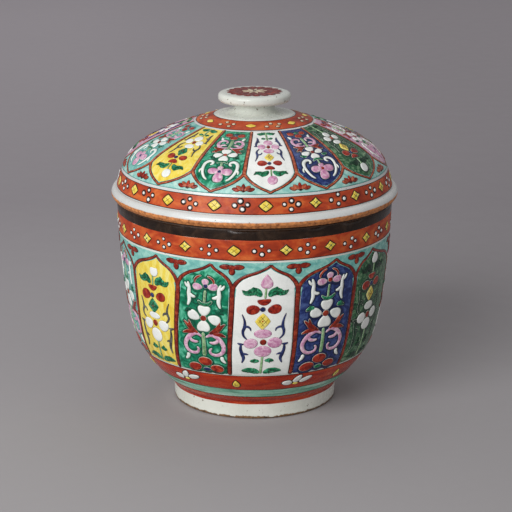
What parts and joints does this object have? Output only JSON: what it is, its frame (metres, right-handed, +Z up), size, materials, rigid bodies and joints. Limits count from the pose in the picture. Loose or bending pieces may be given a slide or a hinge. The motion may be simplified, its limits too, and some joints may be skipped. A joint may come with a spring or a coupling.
{
  "type": "lidded jar",
  "caption": "Lidded porcelain jar: a deep round bowl on a foot ring under a domed lift-off lid with a disc knob, covered in raised enamel bands and arched panels.",
  "frame": {"origin": "on the table under the jar's axis, in the plane of the foot ring's tread", "axes": "+Z up along the jar's axis, -Y towards the front, where the first panel of the bowl is"},
  "size_m": [0.2, 0.1998, 0.2194],
  "materials": {
    "porcelain": "clear glaze, glossy",
    "unglazed_porcelain": "bare fired edge, matt",
    "enamel_iron_red": "orange-red overglaze enamel, glossy",
    "enamel_deep_red": "deep iron-red overglaze enamel, glossy",
    "enamel_dark_brown": "dark brown overglaze enamel, glossy",
    "enamel_turquoise": "translucent turquoise enamel, glossy",
    "enamel_sea_green": "streaky sea-green enamel, glossy",
    "enamel_white": "opaque white enamel, glossy",
    "enamel_blue": "dark blue enamel, glossy",
    "enamel_dark_green": "dark green enamel, glossy",
    "enamel_pink": "opaque pink enamel, glossy",
    "enamel_yellow": "opaque yellow enamel, glossy",
    "enamel_green": "translucent emerald green enamel, glossy"
  },
  "bodies": {
    "jar": {"foot_ring": "porcelain", "bowl": "porcelain", "bowl_foot_line": "enamel_deep_red", "bowl_green_band": "enamel_sea_green", "bowl_lower_band": "enamel_deep_red", "bowl_tracery": "enamel_deep_red", "bowl_spandrels": "enamel_turquoise", "bowl_panel_01": "enamel_white", "bowl_panel_02": "enamel_blue", "bowl_panel_03": "enamel_dark_green", "bowl_panel_04": "enamel_pink", "bowl_panel_05": "enamel_turquoise", "bowl_panel_06": "enamel_yellow", "bowl_panel_07": "enamel_green", "bowl_panel_08": "enamel_white", "bowl_panel_09": "enamel_blue", "bowl_panel_10": "enamel_dark_green", "bowl_panel_11": "enamel_pink", "bowl_panel_12": "enamel_turquoise", "bowl_panel_13": "enamel_yellow", "bowl_panel_14": "enamel_green", "bowl_upper_band": "enamel_iron_red", "bowl_mouth_band": "enamel_dark_brown"},
    "lid": {"lid_shell": "porcelain", "lid_locating_ring": "unglazed_porcelain", "lid_rim_band": "enamel_iron_red", "lid_tracery": "enamel_deep_red", "lid_spandrels": "enamel_turquoise", "lid_panel_01": "enamel_white", "lid_panel_02": "enamel_blue", "lid_panel_03": "enamel_dark_green", "lid_panel_04": "enamel_pink", "lid_panel_05": "enamel_turquoise", "lid_panel_06": "enamel_yellow", "lid_panel_07": "enamel_green", "lid_panel_08": "enamel_white", "lid_panel_09": "enamel_blue", "lid_panel_10": "enamel_dark_green", "lid_panel_11": "enamel_pink", "lid_panel_12": "enamel_turquoise", "lid_panel_13": "enamel_yellow", "lid_panel_14": "enamel_green", "lid_crown_band": "enamel_iron_red", "lid_knob": "porcelain", "knob_rosette": "enamel_deep_red"}
  },
  "joints": [
    {"name": "lid_lift", "type": "slide", "parent": "jar", "child": "lid", "axis": [0, 0, 1], "range_m": [0, 0.12]}
  ]
}
